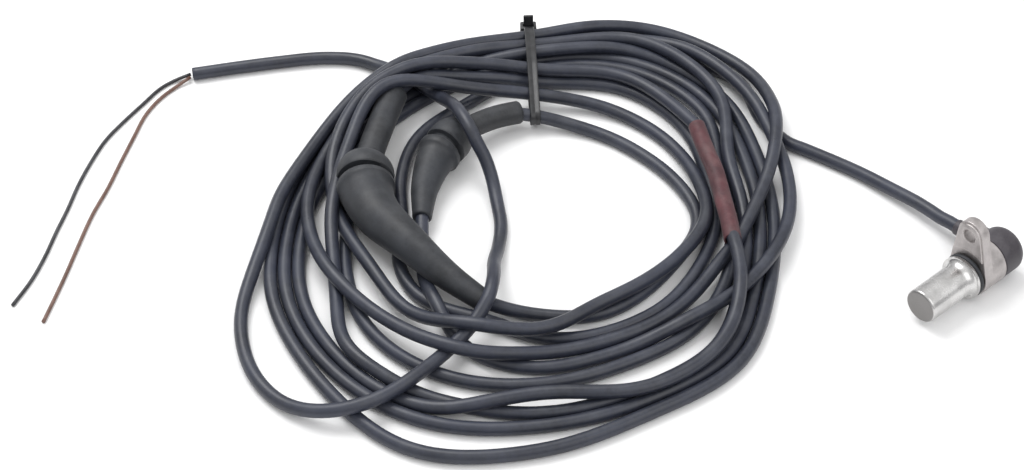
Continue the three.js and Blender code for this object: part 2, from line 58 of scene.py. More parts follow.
housingLow, housingHigh = (np.array(c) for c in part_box("sensor_housing"))
headTip = np.array([(housingLow[0] + housingHigh[0]) / 2, housingLow[1], (housingLow[2] + housingHigh[2]) / 2])
coilOrigin = headTip[:2] - spin(coilTurn) @ tipInCoilFrame
headMatrix = Matrix.Translation(headTip) @ Matrix.Rotation(headRoll, 4, "Y")


# Millimetres in the coil's frame to metres in the row frame
def toRow(points):
    points = np.asarray(points, float) * mm
    flat = points[:, :2] @ spin(coilTurn).T + coilOrigin
    return np.column_stack([flat, points[:, 2]])


def arcPoints(centreX, centreY, radiusX, radiusY, fromDegrees, toDegrees, steps):
    angles = np.radians(np.linspace(fromDegrees, toDegrees, steps + 1))
    return [(centreX + radiusX * math.cos(a), centreY + radiusY * math.sin(a)) for a in angles]


def addObject(name, data, matrix=None):
    piece = bpy.data.objects.new(name, data)
    bpy.context.scene.collection.objects.link(piece)
    if matrix is not None:
        piece.matrix_world = matrix
    return piece


# Sets a camera or lamp at a place in the coil's frame, in metres, and aims it at the coil
def aimAtCoil(item, x, y, z):
    flat = spin(coilTurn) @ np.array([x, y]) + coilOrigin
    item.location = (flat[0], flat[1], z)
    aim = Vector((coilOrigin[0], coilOrigin[1], 0))
    item.rotation_euler = (aim - item.location).to_track_quat("-Z", "Y").to_euler()


# Camera at the photograph's angle: 45 degrees down, in line with the coil's own Y
camera = {"distance": 1.057, "down": 45, "lens": 81.4, "sensor": 36, "near": 0.01, "far": 50}


def makeCamera():
    data = bpy.data.cameras.new("camera")
    data.lens = camera["lens"]
    data.sensor_width = camera["sensor"]
    data.clip_start = camera["near"]
    data.clip_end = camera["far"]
    view = addObject("camera", data)
    down = math.radians(camera["down"])
    aimAtCoil(view, 0, -camera["distance"] * math.cos(down), camera["distance"] * math.sin(down))
    bpy.context.scene.camera = view


makeCamera()
bpy.context.scene.view_settings.view_transform = "Standard"
print("camera placed")


# Cable: its routes are the CAD source's, in millimetres in the coil's frame
cable = {"diameter": 6.2, "spacing": 7, "layer": 5.6, "rise": 0.25, "step": 3, "sides": 16}
settling = {"rounds": 300, "fall": 0.1, "pull": 0.08, "stiffness": 0.25, "push": 1.3, "skin": 0.2}
wire = {"diameter": 1.7, "sides": 12}
coilCentre = np.array([14.0, 4.0])
cableRadius = cable["diameter"] / 2
cableBore = cableRadius + 0.3
cutEnd = [(0.3, 0), (0, 0.3), (0, 0.9), (1.2, 1)]
curveSteps = 12
leadRoute = [
    (195, 4, 7.4), (187, 14, 6.2), (175, 26, 4.6), (163, 37, 3.5), (149, 47, 3.2), (138, 54, 3.2),
    (127, 61, 3.2),
]
tailRoute = [
    (-57, 107, 6), (-66, 114, 3.6), (-77, 119, 3.2), (-94, 120, 3.2), (-114, 117, 3.2),
    (-134, 113, 3.2), (-156, 108, 3.2),
]
crossRoute = [
    (-33, 79, 13), (-29, 69, 19), (-25, 58, 24.6), (-20, 47, 24.6), (-16, 40, 20), (-12, 35, 14),
    (-9, 28, 7.6), (-7, 18, 4), (-5, 3, 3.2), (-6, -10, 3.4), (-8, -25, 8), (-8, -38, 14),
    (-9, -49, 16.6), (-12, -59, 14.8),
]
blackRoute = [
    (-157, 108.6, 2.6), (-164, 106, 1.2), (-171, 100, 0.95), (-178, 89, 0.95), (-186, 76, 0.95),
    (-193, 63, 0.95), (-198, 48, 0.95), (-202, 32, 0.95), (-205, 15, 0.95), (-208, 1, 0.95),
    (-211, -15, 0.95), (-215, -30, 0.95), (-221, -45, 0.95),
]
brownRoute = [
    (-157, 106.4, 2.6), (-163, 101.5, 1.2), (-170, 93, 0.95), (-176, 81, 0.95), (-180, 65, 0.95),
    (-184, 48, 0.95), (-188, 30, 0.95), (-193, 12, 0.95), (-197, -9, 0.95), (-200, -26, 0.95),
    (-203, -41, 0.95), (-206, -55, 0.95),
]
largeGrommetRoute = [
    (-56, 82, 14), (-61, 62, 14), (-66, 37, 14.2), (-67, 17, 14.8), (-61, -2, 16), (-46, -20, 15.2),
    (-29, -36, 11), (-11, -49, 6.5),
]
smallGrommetRoute = [
    (4, 74, 9), (-8, 69, 10), (-18, 62, 11), (-27, 54, 11.3), (-35, 41, 10.6), (-40, 23, 8.4),
    (-41, 4, 6.8),
]
sleeveRoute = [(87, 61, 12), (90, 46, 12), (94, 29, 12), (96, 13, 12), (98, -2, 12), (99, -15, 12)]

# The last loop leaves the coil at its left, swings out and comes back under the bundle
loopRoute = [
    (-106, 18, 8), (-109, -2, 8), (-113, -20, 7), (-118, -38, 4), (-120, -53, 3.2), (-118, -70, 3.2),
    (-114, -84, 3.2), (-108, -95, 3.2), (-99, -105, 3.8), (-88, -112, 7), (-75, -115, 10),
    (-62, -111, 9.5), (-50, -104, 9.3), (-41, -95, 9.3), (-33, -85, 9.3), (-27, -77, 9.6),
    (-20, -69, 11),
]

# Short stretches that lead from one piece to the next
leadEndRoute = [(120, 70, 3.1), (116, 84, 3.1)]
beforeGrommetRoute = [(-40, 97, 13.5), (-51, 92, 14)]
beforeTailRoute = [(-39, 87, 10.5), (-45, 94, 9.4), (-51, 101, 9)]
outletDistances = (-7, -14, -24, -28)

# Grommets on the cable: neck, dome, two lips with a groove between them, and a long cone
largeGrommet = {"neck": 13, "lip": 27, "groove": 19, "end": 10, "neckLength": 50}
smallGrommet = {"neck": 11, "lip": 21, "groove": 15, "end": 9, "neckLength": 32}
grommet = {"dome": 9, "lipWidth": 4, "grooveWidth": 3.4, "edge": 0.6, "round": 0.5, "taper": 1.15,
           "sides": 56, "wave": 0.006, "waves": 90}
sleeve = {"radius": 4.1, "edge": 0.4, "sides": 48, "inset": 0.985, "rings": 0.012, "ringWaves": 520,
          "twist": 140, "folds": 0.006, "foldTwist": 200}


# (Distance, radius) along a grommet, from the end of its neck to the end of its cone
def grommetStations(size, length):
    neck, lip, groove, end = (size[part] / 2 for part in ("neck", "lip", "groove", "end"))
    edge, rounded = grommet["edge"], grommet["round"]
    stations = [(0, neck - 1.2), (0.4, neck - rounded), (1.2, neck)]
    stations += [(s, neck) for s in np.arange(3, size["neckLength"], 3)]
    dome = arcPoints(grommet["dome"], 0, grommet["dome"], 1, 180, 90, 12)
    stations += [(size["neckLength"] + along, neck + (lip - neck) * rise) for along, rise in dome]
    first = size["neckLength"] + grommet["dome"] + grommet["lipWidth"]
    second = first + grommet["grooveWidth"]
    start = second + grommet["lipWidth"]
    stations += [(first - edge, lip), (first, lip - rounded), (first + 0.2, groove + 0.4), (first + edge, groove)]
    stations += [(second - edge, groove), (second - 0.2, groove + 0.4), (second, lip - rounded)]
    stations += [(second + edge, lip), (start - edge, lip), (start, lip - rounded)]
    for t in np.linspace(0, 1, 33)[1:]:
        along = start + (length - edge - start) * t
        stations.append((along, end + (lip - 1.2 - end) * (1 - t) ** grommet["taper"]))
    return stations + [(length - 0.2, end - 0.3), (length, end - 0.9)]


# Each turn's reach from the coil's centre in 16 directions, and the layer that it lies in there
coilTurns = [
    ([0, 128, 140, 132, 123, 116, 114, 112, 116, 124, 128, 129, 121, 115, 113, 103], "0000000000000000"),
    ([100, 105, 116, 124, 116, 109, 102, 99, 91, 98, 103, 103, 98, 93, 93, 90], "0000000000000000"),
    ([88, 91, 112, 119, 109, 90, 84, 72, 64, 71, 71, 64, 72, 75, 76, 76], "0000000000000000"),
    ([80, 84, 96, 103, 98, 102, 103, 89, 76, 60, 54, 53, 58, 63, 63, 65], "0000012222210000"),
    ([74, 70, 67, 68, 72, 76, 68, 60, 55, 58, 69, 86, 89, 84, 91, 102], "0000111100100011"),
    ([113, 122, 133, 138, 130, 122, 119, 119, 121, 127, 136, 146, 134, 121, 119, 107], "1110000000000000"),
    ([106, 110, 124, 126, 113, 112, 108, 106, 110, 119, 121, 122, 107, 114, 111, 95], "0000100000001111"),
    ([83, 87, 100, 105, 99, 105, 113, 106, 94, 84, 84, 80, 74, 61, 62, 67], "1111123322121000"),
    ([76, 79, 83, 85, 84, 88, 108, 98, 95, 99, 121, 118, 115, 110, 110, 96], "0001234321100000"),
    ([91, 93, 121, 131, 120, 115, 113, 110, 108, 102, 95, 95, 83, 80, 81, 83], "0111122111121111"),
    ([94, 118, 145, 146, 127, 121, 119], "1211122"),
]
directions = 16


# Points on the coil's turns, one for each direction from one place to another
def turnPoints(fromTurn, fromDirection, toTurn, toDirection):
    points = []
    first = (fromTurn - 1) * directions + fromDirection
    last = (toTurn - 1) * directions + toDirection
    for place in range(first, last + 1):
        turn, direction = divmod(place, directions)
        reach, layers = coilTurns[turn]
        bearing = 2 * math.pi * direction / directions
        x = coilCentre[0] + reach[direction] * math.cos(bearing)
        y = coilCentre[1] + reach[direction] * math.sin(bearing)
        z = cableRadius + cable["layer"] * int(layers[direction]) + cable["rise"] * turn
        points.append((x, y, z))
    return points


def lineLength(line):
    return float(np.linalg.norm(np.diff(line, axis=0), axis=1).sum())


def distancesAlong(line):
    return np.concatenate([[0], np.cumsum(np.linalg.norm(np.diff(line, axis=0), axis=1))])


# Even points on a centripetal Catmull-Rom curve, and the route index that each lies at
def smoothLine(route, step):
    route = np.asarray(route, float)
    ends = np.vstack([2 * route[0] - route[1], route, 2 * route[-1] - route[-2]])
    line = []
    index = []
    for i in range(1, len(ends) - 2):
        a, b, c, d = ends[i - 1 : i + 3]
        t1 = np.linalg.norm(b - a) ** 0.5
        t2 = t1 + np.linalg.norm(c - b) ** 0.5
        t3 = t2 + np.linalg.norm(d - c) ** 0.5
        t = np.linspace(t1, t2, curveSteps, endpoint=False)[:, None]
        ab = ((t1 - t) * a + t * b) / t1
        bc = ((t2 - t) * b + (t - t1) * c) / (t2 - t1)
        cd = ((t3 - t) * c + (t - t2) * d) / (t3 - t2)
        abc = ((t2 - t) * ab + t * bc) / t2
        bcd = ((t3 - t) * bc + (t - t1) * cd) / (t3 - t1)
        line.append(((t2 - t) * abc + (t - t1) * bcd) / (t2 - t1))
        index.append(i - 1 + (t[:, 0] - t1) / (t2 - t1))
    line = np.vstack(line + [ends[-2][None]])
    index = np.concatenate(index + [[len(route) - 1]])
    along = distancesAlong(line)
    even = np.linspace(0, along[-1], max(2, round(along[-1] / step)) + 1)
    points = np.column_stack([np.interp(even, along, values) for values in line.T])
    return points, np.interp(even, along, index)


def nearPairs(points, reach):
    middles = (points[1:, :2] + points[:-1, :2]) / 2
    apart = ((middles[:, None] - middles[None]) ** 2).sum(-1)
    i, j = np.nonzero(apart < reach**2)
    later = j > i + 3
    return i[later], j[later]


# For segments i and j: how far along each the nearest points lie, and the gap between them
def closestPoints(points, i, j):
    along1 = points[i + 1] - points[i]
    along2 = points[j + 1] - points[j]
    between = points[i] - points[j]
    a = (along1**2).sum(1)
    e = (along2**2).sum(1)
    b = (along1 * along2).sum(1)
    c = (along1 * between).sum(1)
    f = (along2 * between).sum(1)
    cross = a * e - b * b
    s = np.where(cross > 1e-6 * a * e, (b * f - c * e) / np.maximum(cross, 1e-9), 0.5)
    s = np.clip(s, 0, 1)
    t = np.clip((b * s + f) / e, 0, 1)
    s = np.clip((b * t - c) / a, 0, 1)
    gap = points[i] + along1 * s[:, None] - points[j] - along2 * t[:, None]
    return s, t, gap


# The step that takes a share of each free value's distance from the mean of its neighbours
def evened(values, free, share):
    return share * ((values[:-2] + values[2:]) / 2 - values[1:-1]) * free[1:-1, None]


# The drawn line falls, keeps clear of itself and stays near its drawn course
def settleCable(points, free, radii):
    drawn = points.copy()
    width = (radii[1:] + radii[:-1]) / 2
    for step in range(settling["rounds"]):
        if step % 10 == 0:
            i, j = nearPairs(points, cable["spacing"] + 2 * radii.max())
            apart = width[i] + width[j] + settling["skin"]
        points[:, 2] -= settling["fall"] * free
        points[:, :2] -= settling["pull"] * (points - drawn)[:, :2] * free[:, None]
        for _ in range(3):
            points[1:-1] += evened(points - drawn, free, 0.5)
        points[1:-1] += evened(points, free, settling["stiffness"])
        for _ in range(2):
            s, t, gap = closestPoints(points, i, j)
            distance = np.maximum(np.linalg.norm(gap, axis=1), 1e-6)
            hit = distance < apart
            s, t, first, second = s[hit], t[hit], i[hit], j[hit]
            push = gap[hit] * (apart[hit] / distance[hit] - 1)[:, None]
            shareFirst = (free[first] + 1e-6) / (free[first] + free[second] + 2e-6)
            move = np.zeros_like(points)
            weight = np.zeros(len(points))
            for index, part, share in (
                (first, 1 - s, shareFirst),
                (first + 1, s, shareFirst),
                (second, 1 - t, shareFirst - 1),
                (second + 1, t, shareFirst - 1),
            ):
                np.add.at(move, index, (part * share)[:, None] * push)
                np.add.at(weight, index, part)
            points += settling["push"] * move / np.maximum(weight, 1)[:, None] * free[:, None]
            points[:, 2] = np.maximum(points[:, 2], cableRadius)
    for _ in range(2):
        points[1:-1] += evened(points, free, 0.5)
    return points


# The whole route as drawn, and which of its points are held where they are
def drawnCable():
    parts = [
        (leadRoute, True),
        (leadEndRoute, False),
        (turnPoints(1, 2, 4, 5), False),
        (beforeGrommetRoute, False),
        (largeGrommetRoute, True, grommetStations(largeGrommet, lineLength(np.array(largeGrommetRoute)))),
        (turnPoints(4, 12, 5, 3), False),
        (smallGrommetRoute, True, grommetStations(smallGrommet, lineLength(np.array(smallGrommetRoute)))),
        (turnPoints(5, 9, 7, 15), False),
        (sleeveRoute[::-1], True, [(0, sleeve["radius"]), (80, sleeve["radius"])]),
        (turnPoints(8, 3, 11, 6), False),
        (loopRoute, False),
        (crossRoute[::-1], True),
        (beforeTailRoute, True),
        (tailRoute, True),
    ]
    route = [point for part, *_ in parts for point in part]
    held = np.array([keep for part, keep, *_ in parts for _ in part])
    radii = []
    for part, _, *profile in parts:
        along = distancesAlong(part)
        distance, radius = np.array(profile[0]).T if profile else ([0], [cableRadius])
        radii.extend(np.interp(along, distance, radius))
    return route, held, np.array(radii)


# The main cable's centreline in the row frame, from the outlet's mouth to the jacket's end
def cableLine():
    route, held, radii = drawnCable()
    points, index = smoothLine(route, cable["spacing"])
    before = np.floor(index).astype(int)
    after = np.minimum(before + 1, len(held) - 1)
    free = np.where(held[before] & held[after], 0.0, 1.0)
    points = settleCable(points, free, np.interp(index, np.arange(len(radii)), radii))
    points, _ = smoothLine(points, cable["step"])
    outlet = [headMatrix @ Vector((x * mm, elbow["outletAt"] * mm, 0)) for x in outletDistances]
    line = smoothLine(np.vstack([outlet, toRow(points)]), cable["step"] * mm)[0]
    line[:, 2] = np.maximum(line[:, 2], cableRadius * mm)
    return line


# At each point of a line: a level direction across it, and the one over both
def frames(points):
    along = np.gradient(points, axis=0)
    along /= np.linalg.norm(along, axis=1)[:, None]
    across = np.cross(along, [0, 0, 1])
    across /= np.linalg.norm(across, axis=1)[:, None]
    return across, np.cross(across, along)


def meshObject(name, vertices, faces, matrix=None, smooth=True):
    data = bpy.data.meshes.new(name)
    data.from_pydata([tuple(v) for v in vertices], [], faces)
    data.update()
    if smooth:
        data.shade_smooth()
    return addObject(name, data, matrix)


# Quads of a grid whose columns close on themselves, as its rows may too
def gridFaces(rows, columns, closedRows=False):
    faces = []
    for r in range(rows if closedRows else rows - 1):
        for c in range(columns):
            n = (c + 1) % columns
            below, above = r * columns, ((r + 1) % rows) * columns
            faces.append((below + c, below + n, above + n, above + c))
    return faces


# The same with both open ends closed
def cappedFaces(rows, columns):
    last = (rows - 1) * columns
    return gridFaces(rows, columns) + [tuple(range(columns))[::-1], tuple(range(last, last + columns))]


# A UV layer: once round the tube in U, metres along it in V
def addStripes(data, columns, lengths):
    layer = data.uv_layers.new(name="tube")
    for polygon in data.polygons:
        for loopIndex, vertex in zip(polygon.loop_indices, polygon.vertices):
            row, column = divmod(vertex, columns)
            u = column / columns
            if column == 0 and any(v % columns == columns - 1 for v in polygon.vertices):
                u = 1
            layer.data[loopIndex].uv = (u, lengths[min(row, len(lengths) - 1)])


# Rings of points round a line: (distance along it, radius) for each; wave bends a ring a little
def ringPoints(line, stations, sides, wave=None):
    along = distancesAlong(line)
    across, over = frames(line)
    points = []
    for distance, radius in stations:
        spot = min(max(distance, 0), along[-1])
        at, side, up = (
            np.array([np.interp(spot, along, values[:, k]) for k in range(3)]) for values in (line, across, over)
        )
        for a in 2 * np.pi * np.arange(sides) / sides:
            r = radius * wave(a, distance) if wave else radius
            points.append(at + r * (math.cos(a) * side + math.sin(a) * up))
    return points


# Round sections strung on a line, closed by its end caps
def strungMesh(name, line, stations, sides):
    piece = meshObject(name, ringPoints(line, stations, sides), cappedFaces(len(stations), sides))
    addStripes(piece.data, sides, [s for s, _ in stations])
    return piece


# Round sections strung on a line, with the cable's bore left open
def hollowMesh(name, line, stations, sides, wave):
    inner = [(s, cableBore * mm) for s, _ in stations[::-1]]
    points = ringPoints(line, stations, sides, wave) + ringPoints(line, inner, sides)
    piece = meshObject(name, points, gridFaces(2 * len(stations), sides, True))
    addStripes(piece.data, sides, [s for s, _ in stations + inner])
    return piece


# Node graphs: a small helper, then the effects that several materials share
class Graph:
    def __init__(self, tree):
        self.tree = tree

    # A node with its settings; a value for a socket is given as in_Name, with _ for a space
    def add(self, kind, **settings):
        node = self.tree.nodes.new(kind)
        for key, value in settings.items():
            if key.startswith("in_"):
                self.set(node, key[3:].replace("_", " "), value)
            else:
                setattr(node, key, value)
        return node

    def set(self, node, name, value):
        socket = node.inputs[int(name)] if name.isdigit() else node.inputs[name]
        if isinstance(value, bpy.types.NodeSocket):
            self.tree.links.new(value, socket)
        else:
            socket.default_value = value

    def link(self, output, node, name):
        self.tree.links.new(output, node.inputs[name])

    def math(self, operation, first, second=0.0, clamp=False):
        node = self.add("ShaderNodeMath", operation=operation, use_clamp=clamp)
        self.set(node, "0", first)
        self.set(node, "1", second)
        return node.outputs[0]

    def times(self, first, second, clamp=False):
        return self.math("MULTIPLY", first, second, clamp)

    def mix(self, factor, first, second):
        node = self.add("ShaderNodeMix", data_type="RGBA")
        self.set(node, "0", factor)
        self.set(node, "6", first)
        self.set(node, "7", second)
        return node.outputs[2]

    def spread(self, value, low, high, toLow=0.0, toHigh=1.0):
        node = self.add("ShaderNodeMapRange", clamp=True)
        limits = {"Value": value, "From Min": low, "From Max": high, "To Min": toLow, "To Max": toHigh}
        for name, number in limits.items():
            self.set(node, name, number)
        return node.outputs[0]

    def place(self):
        return self.add("ShaderNodeTexCoord").outputs["Object"]

    def noise(self, coordinates, scale, detail=3.0, roughness=0.55):
        node = self.add("ShaderNodeTexNoise", in_Scale=scale, in_Detail=detail, in_Roughness=roughness)
        self.link(coordinates, node, "Vector")
        return node.outputs["Fac"]


# A colour from 0 to 255 as it shows on a screen, as linear light
def rgb(r, g, b):
    return tuple(((c / 255 + 0.055) / 1.055) ** 2.4 if c > 10 else c / 3294.6 for c in (r, g, b)) + (1.0,)


def nodeGroup(name, inputs, outputs, build):
    group = bpy.data.node_groups.new(name, "ShaderNodeTree")
    for label, kind, value in inputs:
        socket = group.interface.new_socket(label, in_out="INPUT", socket_type=kind)
        socket.default_value = value
    for label, kind in outputs:
        group.interface.new_socket(label, in_out="OUTPUT", socket_type=kind)
    graph = Graph(group)
    source = graph.add("NodeGroupInput")
    sink = graph.add("NodeGroupOutput")
    for label, value in build(graph, source.outputs).items():
        graph.link(value, sink, label)
    return group


# Two colours mixed by broad and fine noise
def buildTone(graph, given):
    where = graph.place()
    broad = graph.noise(where, given["Scale"], 3)
    fine = graph.noise(where, graph.times(given["Scale"], 17.0), 4)
    both = graph.math("ADD", graph.times(broad, 0.7), graph.times(fine, 0.3))
    factor = graph.spread(both, 0.38, 0.62)
    return {"Color": graph.mix(factor, given["Dark"], given["Light"]), "Factor": factor}


# Fine relief of two sizes as a bump
def buildGrain(graph, given):
    where = graph.place()
    fine = graph.noise(where, given["Scale"], 2)
    coarse = graph.noise(where, graph.times(given["Scale"], 0.23), 2)
    height = graph.math("ADD", graph.times(fine, 0.6), graph.times(coarse, 0.4))
    bump = graph.add("ShaderNodeBump", in_Strength=given["Strength"], in_Distance=given["Depth"], in_Height=height)
    return {"Normal": bump.outputs[0]}


# Pale dust where the surface faces up, in patches
def buildDust(graph, given):
    normal = graph.add("ShaderNodeNewGeometry").outputs["Normal"]
    upward = graph.add("ShaderNodeSeparateXYZ", in_Vector=normal).outputs["Z"]
    where = graph.place()
    patches = graph.spread(graph.noise(where, given["Scale"], 5, 0.65), 0.42, 0.72)
    facing = graph.spread(upward, 0.1, 1.0)
    amount = graph.times(graph.times(patches, facing), given["Amount"], clamp=True)
    return {"Color": graph.mix(amount, given["Color"], given["Dust"]), "Amount": amount}


# How near a sharp edge the surface is, broken up as real wear is
def buildEdges(graph, given):
    rounded = graph.add("ShaderNodeBevel", samples=4, in_Radius=given["Radius"])
    normal = graph.add("ShaderNodeNewGeometry").outputs["Normal"]
    dot = graph.add("ShaderNodeVectorMath", operation="DOT_PRODUCT")
    graph.link(rounded.outputs[0], dot, 0)
    graph.link(normal, dot, 1)
    edge = graph.spread(dot.outputs["Value"], 0.995, 0.85)
    where = graph.place()
    broken = graph.spread(graph.noise(where, given["Scale"], 4), 0.35, 0.65)
    return {"Mask": graph.times(edge, graph.spread(broken, 0, 1, 0.45, 1))}


colour, number = "NodeSocketColor", "NodeSocketFloat"
grey = (0.1, 0.1, 0.1, 1)
toneGroup = nodeGroup(
    "tone variation", [("Dark", colour, grey), ("Light", colour, grey), ("Scale", number, 40)],
    [("Color", colour), ("Factor", number)], buildTone,
)
grainGroup = nodeGroup(
    "surface grain", [("Scale", number, 2000), ("Strength", number, 0.3), ("Depth", number, 0.0001)],
    [("Normal", "NodeSocketVector")], buildGrain,
)
dustGroup = nodeGroup(
    "settled dust",
    [("Color", colour, grey), ("Dust", colour, grey), ("Scale", number, 60), ("Amount", number, 0.2)],
    [("Color", colour), ("Amount", number)], buildDust,
)
edgeGroup = nodeGroup(
    "worn edges", [("Radius", number, 0.0004), ("Scale", number, 400)], [("Mask", number)], buildEdges,
)


def useGroup(graph, group, **values):
    node = graph.add("ShaderNodeGroup", node_tree=group)
    for name, value in values.items():
        graph.set(node, name, value)
    return node.outputs


def toneAndGrain(graph, look):
    tone = useGroup(graph, toneGroup, Dark=look["dark"], Light=look["light"], Scale=look["toneScale"])
    grain = useGroup(graph, grainGroup, Scale=look["grainScale"], Strength=look["grain"], Depth=look["depth"])
    return tone, grain


# A material with one Principled shader, and the graph to build on
def newMaterial(name):
    material = bpy.data.materials.new(name)
    material.use_nodes = True
    graph = Graph(material.node_tree)
    graph.tree.nodes.clear()
    shader = graph.add("ShaderNodeBsdfPrincipled")
    output = graph.add("ShaderNodeOutputMaterial")
    graph.link(shader.outputs[0], output, "Surface")
    return material, graph, shader


def feeding(shader, name):
    return shader.inputs[name].links[0].from_socket


# Moulded or extruded plastic and rubber: two tones, grain, and dust where it faces up
def polymer(name, look):
    material, graph, shader = newMaterial(name)
    tone, grain = toneAndGrain(graph, look)
    dust = useGroup(
        graph, dustGroup, Color=tone["Color"], Dust=look["dust"], Scale=look["dustScale"],
        Amount=look["dustAmount"],
    )
    roughness = graph.math(
        "ADD", graph.spread(tone["Factor"], 0, 1, look["smooth"], look["rough"]),
        graph.times(dust["Amount"], 0.25),
    )
    graph.set(shader, "IOR", look["ior"])
    graph.link(dust["Color"], shader, "Base Color")
    graph.link(roughness, shader, "Roughness")
    graph.link(grain["Normal"], shader, "Normal")
    if look["sheen"]:
        graph.set(shader, "Sheen Weight", look["sheen"])
        graph.set(shader, "Sheen Roughness", 0.5)
    return material, graph, shader


jacketLook = {
    "dark": rgb(37, 40, 50), "light": rgb(52, 56, 70), "toneScale": 30, "dust": rgb(140, 142, 146),
    "dustScale": 90, "dustAmount": 0.1, "grainScale": 2600, "grain": 0.25, "depth": 0.00006,
    "smooth": 0.34, "rough": 0.46, "ior": 1.5, "sheen": 0.0,
}
rubberLook = dict(
    jacketLook, dark=rgb(26, 28, 32), light=rgb(42, 45, 51), toneScale=45, dust=rgb(128, 130, 134),
    dustScale=120, dustAmount=0.13, grainScale=1800, grain=0.35, depth=0.0001,
    smooth=0.48, rough=0.62, sheen=0.06,
)
elbowLook = dict(
    jacketLook, dark=rgb(52, 48, 54), light=rgb(66, 62, 68), toneScale=80, dust=rgb(150, 148, 150),
    dustScale=200, dustAmount=0.12, grainScale=3400, grain=0.3, depth=0.00006,
    smooth=0.42, rough=0.55,
)
sleeveLook = dict(
    jacketLook, dark=rgb(62, 30, 36), light=rgb(90, 46, 52), toneScale=110, dust=rgb(160, 130, 128),
    dustScale=160, dustAmount=0.2, grainScale=2400, grain=0.4, depth=0.0001,
    smooth=0.5, rough=0.65, ior=1.45, sheen=0.1,
)
nylonLook = dict(
    jacketLook, dark=rgb(22, 23, 25), light=rgb(34, 35, 38), toneScale=120, dust=rgb(120, 120, 122),
    dustScale=220, dustAmount=0.12, grainScale=3000, grain=0.2, depth=0.00005,
    smooth=0.32, rough=0.45, ior=1.53,
)
blackWireLook = dict(jacketLook, dark=rgb(36, 36, 40), light=rgb(52, 52, 56), toneScale=90)
brownWireLook = dict(jacketLook, dark=rgb(92, 66, 56), light=rgb(116, 86, 74), toneScale=90)
bobbinLook = dict(elbowLook, dark=rgb(28, 38, 34), light=rgb(40, 52, 46))


# Extruded jacket: the polymer with faint lines along it and rub marks
def jacketMaterial():
    material, graph, shader = polymer("cable_jacket", jacketLook)
    tube = graph.add("ShaderNodeTexCoord").outputs["UV"]
    stretch = graph.add("ShaderNodeMapping")
    graph.set(stretch, "Scale", (60, 9, 1))
    graph.link(tube, stretch, "Vector")
    lines = graph.noise(stretch.outputs[0], 1.0, 3, 0.6)
    base = feeding(shader, "Base Color")
    darker = graph.mix(graph.spread(lines, 0.4, 0.7, 0, 0.28), base, rgb(24, 26, 31))
    graph.link(darker, shader, "Base Color")
    where = graph.place()
    rubbed = graph.spread(graph.noise(where, 140, 6, 0.7), 0.6, 0.74)
    rough = feeding(shader, "Roughness")
    graph.link(graph.math("SUBTRACT", rough, graph.times(rubbed, 0.16)), shader, "Roughness")
    return material


# Bare metal with grain, stains and brighter worn edges
def metal(name, look):
    material, graph, shader = newMaterial(name)
    tone, grain = toneAndGrain(graph, look)
    edges = useGroup(graph, edgeGroup, Radius=look["edge"], Scale=500)
    worn = graph.mix(edges["Mask"], tone["Color"], look["worn"])
    graph.link(worn, shader, "Base Color")
    rough = graph.spread(tone["Factor"], 0, 1, look["smooth"], look["rough"])
    graph.link(graph.math("SUBTRACT", rough, graph.times(edges["Mask"], 0.12)), shader, "Roughness")
    graph.link(grain["Normal"], shader, "Normal")
    graph.set(shader, "Metallic", 1)
    return material, graph, shader


castLook = {
    "dark": rgb(166, 161, 160), "light": rgb(198, 193, 192), "toneScale": 160, "grainScale": 1500, "grain": 0.5,
    "depth": 0.00012, "edge": 0.0004, "worn": rgb(226, 222, 218), "smooth": 0.42, "rough": 0.58,
}
steelLook = {
    "dark": rgb(188, 187, 186), "light": rgb(214, 213, 212), "toneScale": 120, "grainScale": 900, "grain": 0.08,
    "depth": 0.00005, "edge": 0.0003, "worn": rgb(236, 235, 233), "smooth": 0.2, "rough": 0.3,
}
ironLook = dict(steelLook, dark=rgb(96, 98, 102), light=rgb(124, 126, 130), rough=0.4)
brassLook = dict(steelLook, dark=rgb(176, 146, 84), light=rgb(204, 176, 108), rough=0.36)
copperLook = dict(steelLook, dark=rgb(150, 78, 44), light=rgb(188, 104, 62), rough=0.36)
magnetLook = dict(steelLook, dark=rgb(140, 144, 148), light=rgb(166, 170, 174), rough=0.3)


# Turned steel: fine rings round the head's own Y axis, as the tool leaves them, and painted shade on the tip face
def turnedSteel():
    material, graph, shader = metal("turned_steel", steelLook)
    where = graph.place()
    stretch = graph.add("ShaderNodeMapping")
    graph.set(stretch, "Scale", (30, 5200, 30))
    graph.link(where, stretch, "Vector")
    rings = graph.noise(stretch.outputs[0], 1.0, 2, 0.5)
    bump = graph.add("ShaderNodeBump", in_Strength=0.16, in_Distance=0.00004, in_Height=rings)
    graph.link(feeding(shader, "Normal"), bump, "Normal")
    graph.link(bump.outputs[0], shader, "Normal")
    graph.set(shader, "Anisotropic", 0.3)
    # Painted shade: the tip face is painted darker, and it is also made rougher
    alongHead = graph.add("ShaderNodeSeparateXYZ", in_Vector=where).outputs["Y"]
    face = graph.spread(alongHead, headTip[1] + 0.0001, headTip[1] + 0.0004, 1, 0)
    bare = feeding(shader, "Base Color")
    graph.link(graph.mix(face, bare, rgb(134, 132, 131)), shader, "Base Color")
    rough = feeding(shader, "Roughness")
    graph.link(graph.math("ADD", rough, graph.times(face, 0.22)), shader, "Roughness")
    return material


